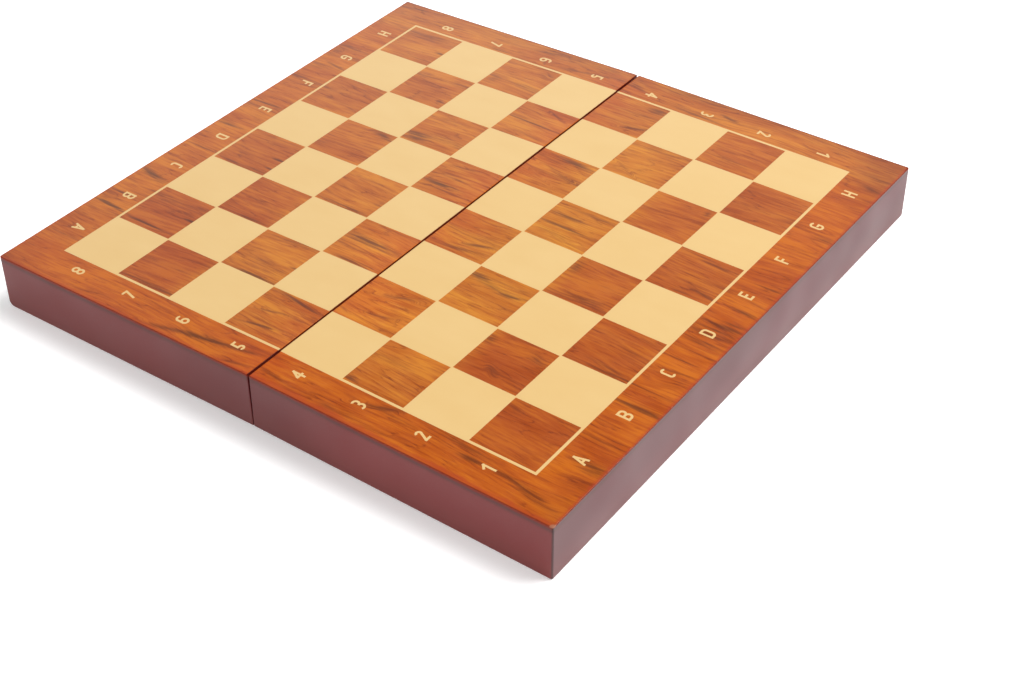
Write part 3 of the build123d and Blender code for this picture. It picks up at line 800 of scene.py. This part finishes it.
def block(name: str, low: Sequence[float], high: Sequence[float]) -> Object:
    """Adds a box between two corners.

    Args:
        name: The piece's name.
        low: Its lowest corner, in millimetres.
        high: Its highest corner.

    Returns:
        The box.
    """
    middle = [(a + b) / 2 for a, b in zip(low, high)]
    spans = [b - a for a, b in zip(low, high)]
    bpy.ops.mesh.primitive_cube_add(size=1, location=middle, scale=spans)
    piece = bpy.context.object
    piece.name = name
    bpy.ops.object.transform_apply()
    return piece


def pick(*pieces: Object) -> None:
    """Selects just these pieces and makes the first one active."""
    bpy.ops.object.select_all(action="DESELECT")
    for piece in pieces:
        piece.select_set(True)
    bpy.context.view_layer.objects.active = pieces[0]


def copied(piece: Object, place: Matrix) -> Object:
    """Copies a piece with its own mesh, moved by the place."""
    pick(piece)
    bpy.ops.object.duplicate()
    made = bpy.context.object
    made.matrix_world = place @ made.matrix_world
    bpy.ops.object.transform_apply()
    return made


def worked(piece: Object, tool: Object, operation: str) -> None:
    """Cuts a tool from a piece or joins it on, and takes the tool away.

    Args:
        piece: The piece.
        tool: The solid that cuts or joins.
        operation: DIFFERENCE or UNION.
    """
    pick(piece)
    step = piece.modifiers.new("work", "BOOLEAN")
    step.object = tool
    step.operation = operation
    step.solver = "EXACT"
    bpy.ops.object.modifier_apply(modifier=step.name)
    bpy.data.objects.remove(tool)


def joined(name: str, pieces: Sequence[Object]) -> Object:
    """Joins loose solids in one named piece."""
    pick(*pieces)
    bpy.ops.object.join()
    pieces[0].name = name
    return pieces[0]


def fitted(piece: Object, body: Half, node: str, finish: Material) -> None:
    """Smooths a finished metal piece, dresses it and lets it stand for its solid.

    Args:
        piece: The piece, at its place.
        body: The half it rides on.
        node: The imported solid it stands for.
        finish: Its material.
    """
    pick(piece)
    bpy.ops.object.shade_smooth_by_angle(angle=math.radians(35))
    paint(piece, finish)
    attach(piece, body.value)
    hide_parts(node)
    LOG.info("%s: %d faces, for %s", piece.name, len(piece.data.polygons), node)


@dataclass
class Tray:
    """One half of the board: walls, panel, printed sheet and its light print."""

    half: Half
    lacquered: tuple[str, ...] = ("panel", "outer_rail", "hinge_rail", "a_side_rail", "h_side_rail")
    cream: tuple[str, ...] = ("light_print", "file_letters", "rank_numbers")

    def dress(self, nodes: dict[str, Object]) -> None:
        """Gives the half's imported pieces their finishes.

        Args:
            nodes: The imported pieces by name.
        """
        lacquer = MahoganyLacquer(self.half).material()
        cream = CreamPrint(self.half).material()
        wood = RosewoodPrint(self.half).material()
        for piece in self.lacquered:
            paint(nodes[f"{self.half.value}_{piece}"], lacquer)
        for piece in self.cream:
            paint(nodes[f"{self.half.value}_{piece}"], cream)
        paint(nodes[f"{self.half.value}_print_sheet"], wood)
        LOG.info("%s: %d pieces dressed", self.half.value, len(self.lacquered) + len(self.cream) + 1)


@dataclass
class Hinges:
    """Two brass butt hinges: leaves with rolled knuckles, pins and countersunk screws.

    The sizes are in millimetres. Those from face to crest are radii of the screw, and point is its length.
    """

    length: float = 30.0
    width: float = 6.9
    thickness: float = 1.2
    corner: float = 0.8
    barrel: float = 1.35
    bore: float = 0.8
    knuckles: int = 5
    knuckle_gap: float = 0.15
    pin: float = 0.75
    tongue: float = 1.65
    screw_x: float = 4.275
    screw_y: float = 9.0
    head: float = 1.95
    hole: float = 1.05
    sink: float = 0.9
    ease: float = 0.12
    chamfer: float = 0.1
    face: float = 1.78
    rim: float = 1.88
    shank: float = 1.0
    root: float = 0.78
    crest: float = 0.98
    pitch: float = 0.8
    turns: int = 6
    point: float = 8.9
    slot_depth: float = 0.42
    slot_taper: float = 0.55
    rolled: BrightMetal = BrightMetal("rolled_brass", "D9B36A", "C29A55", (12, 0.25, 0.25), 0.21)
    screw_finish: BrightMetal = BrightMetal("turned_brass", "D6AE62", "B88F4C", (0.4, 0.4, 0.4), 0.2)

    @property
    def axis(self) -> Matrix:
        """Lays what is turned about Z along the hinge's axis."""
        return Matrix.Translation((0, 0, -SIZES.axis_drop)) @ Matrix.Rotation(math.pi / 2, 4, "X")

    def plate(self) -> Object:
        """The flat of a leaf, with rounded free corners, eased edges and two countersunk holes."""
        half = self.length / 2
        plate = block("plate", (self.tongue, -half, 0), (self.width, half, self.thickness))
        bpy.ops.object.mode_set(mode="EDIT")
        choose("EDGE", lambda p: all(v.x > self.width - 0.01 for v in p) and abs(p[0].z - p[1].z) > 0.1)
        bpy.ops.mesh.bevel(offset=self.corner, segments=6, affect="EDGES")
        choose("EDGE", lambda p: p[0].z == p[1].z and any(v.x > self.tongue + 0.01 for v in p))
        bpy.ops.mesh.bevel(offset=self.ease, segments=2, affect="EDGES")
        bpy.ops.object.mode_set(mode="OBJECT")
        for y in (-self.screw_y, self.screw_y):
            stations = ((-0.1, self.head + 0.1), (self.sink, self.hole), (self.thickness + 0.1, self.hole))
            tool = turned("countersink", 40, stations)
            tool.location = (self.screw_x, y, 0)
            worked(plate, tool, "DIFFERENCE")
        return plate

    def leaf(self, owned: Sequence[int]) -> Object:
        """One leaf, in the first half's flat frame, with its middle on the X axis.

        Args:
            owned: The knuckles it owns, counted from the low Y end.

        Returns:
            The leaf.
        """
        leaf = self.plate()
        pitch = self.length / self.knuckles
        reach = (pitch - self.knuckle_gap) / 2
        for number in owned:
            middle = (number + 0.5) * pitch - self.length / 2
            high = (self.tongue + 0.2, middle + reach, self.thickness)
            tongue = block("tongue", (0, middle - reach, 0), high)
            worked(leaf, tongue, "UNION")
            low, flat = self.barrel - self.chamfer, reach - self.chamfer
            stations = ((-reach, low), (-flat, self.barrel), (flat, self.barrel), (reach, low))
            knuckle = turned("knuckle", 48, stations)
            knuckle.matrix_world = Matrix.Translation((0, middle, 0)) @ self.axis
            worked(leaf, knuckle, "UNION")
        half = self.length / 2 + 1
        bore = turned("bore", 40, ((-half, self.bore), (half, self.bore)))
        bore.matrix_world = self.axis
        worked(leaf, bore, "DIFFERENCE")
        # the rolled end stops 0.1 mm short of the flat's underside
        slit = block("slit", (self.bore - 0.3, -half, -0.2), (self.barrel + 0.2, half, -0.1))
        worked(leaf, slit, "DIFFERENCE")
        return leaf

    def screw(self) -> Object:
        """A countersunk screw with its head's face at Z 0 and its point up."""
        stations = [(0.0, self.face), (0.06, self.rim), (0.88, self.shank), (2.0, self.shank)]
        # the thread is drawn as rings, as coarse as a small wood screw's
        for turn in range(self.turns):
            start = 2.0 + self.pitch * turn
            stations += [(start + 0.1, self.root), (start + 0.4, self.root)]
            stations += [(start + 0.55, self.crest), (start + 0.7, self.crest)]
        stations += [(7.0, 0.8), (self.point, 0.06)]
        screw = turned("screw", 24, stations)
        for turn in (0, math.pi / 2):
            slot = block("slot", (-1.0, -0.25, -0.3), (1.0, 0.25, self.slot_depth))
            bpy.ops.object.mode_set(mode="EDIT")
            choose("FACE", lambda p: all(v.z > self.slot_depth - 0.02 for v in p))
            bpy.ops.transform.resize(value=(self.slot_taper, self.slot_taper, 1))
            bpy.ops.object.mode_set(mode="OBJECT")
            slot.matrix_world = Matrix.Rotation(turn, 4, "Z")
            worked(screw, slot, "DIFFERENCE")
        return screw

    def build(self) -> None:
        """Makes both hinges and sets them at their places."""
        rolled, turned_brass = self.rolled.material(), self.screw_finish.material()
        end = self.length / 2 - 0.075
        rise = [(-end, 0.4), (0.15 - end, 0.64), (0.4 - end, self.pin)]
        pin = turned("pin", 32, rise + [(-height, wide) for height, wide in reversed(rise)])
        leaves = {Half.FIRST: self.leaf((0, 2, 4)), Half.SECOND: self.leaf((1, 3))}
        screw = self.screw()
        sides = (("a", -SIZES.hinge_y), ("h", SIZES.hinge_y))
        for name, y in sides:
            at = Matrix.Translation((0, y, 0))
            rod = copied(pin, Half.FIRST.laid @ at @ self.axis)
            rod.name = f"{name}_hinge_rod"
            fitted(rod, Half.FIRST, f"{name}_hinge_pin", rolled)
        for half in Half:
            screws = []
            for name, y in sides:
                at = half.laid @ Matrix.Translation((0, half.side * y, 0))
                leaf = copied(leaves[half], at)
                leaf.name = f"{half.value}_{name}_rolled_leaf"
                fitted(leaf, half, f"{half.value}_{name}_hinge_leaf", rolled)
                for step in (-self.screw_y, self.screw_y):
                    # each screw was left at its own turn
                    turn = Matrix.Rotation(0.7 * len(screws) + 0.2 * half.side, 4, "Z")
                    place = Matrix.Translation((self.screw_x, step, 0)) @ turn
                    screws.append(copied(screw, at @ place))
            set_of_four = joined(f"{half.value}_countersunk_screws", screws)
            fitted(set_of_four, half, f"{half.value}_hinge_screws", turned_brass)
        for pattern in (pin, screw, *leaves.values()):
            bpy.data.objects.remove(pattern)


@dataclass
class Magnets:
    """Four nickel-plated discs in the rims that hold the closed case. Millimetres."""

    radius: float = 2.5
    thickness: float = 2.0
    edge: float = 0.3
    finish: BrightMetal = BrightMetal("nickel_plate", "C9C8C4", "B4B3B0", (0.5, 0.5, 0.5), 0.2)

    def build(self) -> None:
        """Makes the discs and sets them at their places."""
        nickel = self.finish.material()
        rise = []
        for angle in (0, 0.52, 1.05, 1.57):
            up, inset = self.edge * (1 - math.cos(angle)), self.edge * (1 - math.sin(angle))
            rise.append((up, self.radius - inset))
        fall = [(self.thickness - up, wide) for up, wide in reversed(rise)]
        disc = turned("disc", 48, rise + fall)
        for half in Half:
            discs = []
            for y in (-SIZES.magnet_y, SIZES.magnet_y):
                discs.append(copied(disc, half.laid @ Matrix.Translation((SIZES.magnet_x, y, 0))))
            pair = joined(f"{half.value}_closing_discs", discs)
            fitted(pair, half, f"{half.value}_magnets", nickel)
        bpy.data.objects.remove(disc)


@dataclass
class Studio:
    """Pale floor, soft light and the camera. Metres, degrees and watts, and millimetres for the lens."""

    lens: float = 63.9515
    place: Point = (0.41032, -0.5343, 0.48007)
    turn: Point = (54.9249, 1.4658, 36.8676)
    shift: tuple[float, float] = (0.05407, -0.09352)
    glow: float = 0.24
    softbox_size: float = 1.2
    key: Point = (0.65, 0.7, 1.7)
    key_power: float = 51.0
    front: Point = (0.3, -1.4, 0.9)
    front_power: float = 8.0

    def camera(self) -> None:
        """Stands the camera at the photograph's place."""
        data = bpy.data.cameras.new("camera")
        data.lens = self.lens
        data.sensor_width = 36.0
        data.shift_x, data.shift_y = self.shift
        camera = bpy.data.objects.new("camera", data)
        camera.location = self.place
        camera.rotation_euler = [math.radians(a) for a in self.turn]
        bpy.context.collection.objects.link(camera)
        bpy.context.scene.camera = camera

    def floor(self) -> None:
        """Lays a matt white table top, faintly lit from below as for catalogue pictures."""
        bpy.ops.mesh.primitive_plane_add(size=14)
        floor = bpy.context.object
        floor.name = "studio_floor"
        made, tree, shader = new_material("matt_white_board")
        coordinates = add(tree, "TexCoord").outputs["Object"]
        mottle = add(tree, "TexNoise", {"Vector": coordinates, "Scale": 3.0, "Detail": 2.0})
        colour = add(tree, "ValToRGB", {"Fac": mottle}, [(0.3, "F4F4F4"), (0.7, "F6F6F6")])
        feed(shader, {"Base Color": colour, "Roughness": 0.9, "Specular IOR Level": 0.1})
        feed(shader, {"Emission Color": "FFFFFF", "Emission Strength": self.glow})
        floor.data.materials.append(made)

    def softbox(self, name: str, place: Point, power: float) -> None:
        """Hangs one square soft light that faces the board.

        Args:
            name: The light's name.
            place: Where its middle is, in metres.
            power: Its power, in watts.
        """
        data = bpy.data.lights.new(name, "AREA")
        data.shape = "SQUARE"
        data.size = self.softbox_size
        data.energy = power
        light = bpy.data.objects.new(name, data)
        light.location = place
        light.rotation_euler = (-Vector(place)).to_track_quat("-Z", "Y").to_euler()
        bpy.context.collection.objects.link(light)

    def world(self) -> None:
        """A white band of surroundings about 25 degrees above the horizon, dimmer below it and over it."""
        world = bpy.data.worlds.new("studio")
        bpy.context.scene.world = world
        world.use_nodes = True
        tree = world.node_tree
        direction = add(tree, "TexCoord").outputs["Generated"]
        height = add(tree, "SeparateXYZ", {0: direction}).outputs[2]
        limits = {"Value": height, "From Min": 0.40, "From Max": 0.64, "To Min": 1.35, "To Max": 0.12}
        level = add(tree, "MapRange", limits, **EASED)
        limits = {"Value": height, "From Min": 0.0, "From Max": 0.4, "To Min": 0.3}
        dim = add(tree, "MapRange", limits, **EASED)
        level = add(tree, "Math", {0: level, 1: dim}, operation="MULTIPLY")
        feed(tree.nodes["Background"], {"Color": "FFFFFF", "Strength": level})

    def build(self) -> None:
        """Sets up the whole studio."""
        self.camera()
        self.floor()
        self.world()
        self.softbox("key_softbox", self.key, self.key_power)
        self.softbox("front_softbox", self.front, self.front_power)
        bpy.context.scene.view_settings.view_transform = "Standard"
        LOG.info("studio ready")


def corners(box: tuple[Vector, Vector]) -> list[list[float]]:
    """A box as plain lists."""
    return [list(point) for point in box]


def main() -> None:
    """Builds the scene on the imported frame."""
    logging.basicConfig(level=logging.INFO, format="%(name)s: %(message)s")
    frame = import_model()
    bpy.ops.object.select_all(action="DESELECT")
    nodes = frame["nodes"]
    Studio().build()
    for half in Half:
        Tray(half).dress(nodes)
    Hinges().build()
    Magnets().build()


if __name__ == "__main__":
    main()
